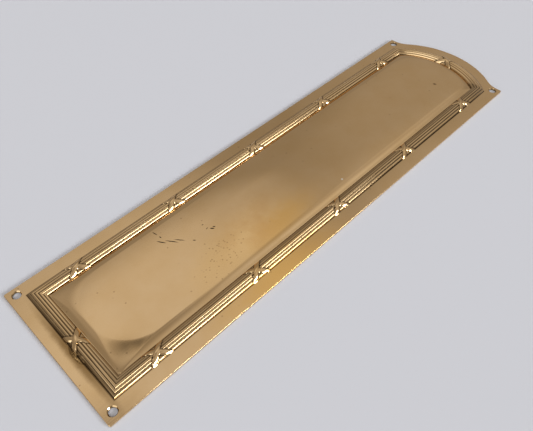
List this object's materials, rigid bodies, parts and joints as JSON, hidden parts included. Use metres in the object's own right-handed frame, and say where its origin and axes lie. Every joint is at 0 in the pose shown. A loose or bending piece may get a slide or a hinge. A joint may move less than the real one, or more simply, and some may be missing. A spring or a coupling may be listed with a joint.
{
  "type": "door finger plate",
  "caption": "Long pressed brass door finger plate with an arched top, a reeded border bound by crossed ribbons, a cushioned panel and corner screw holes.",
  "frame": {"origin": "in the back plane, at the middle of the plate's width and length", "axes": "+X across the plate, +Y towards the arched end, +Z out of the decorated face"},
  "size_m": [0.076, 0.2768, 0.0033],
  "materials": {
    "aged_brass": "old polished sheet brass, dulled to a warm satin with brown stains and dark hollows"
  },
  "bodies": {
    "root": {"finger_plate": "aged_brass"}
  },
  "joints": []
}
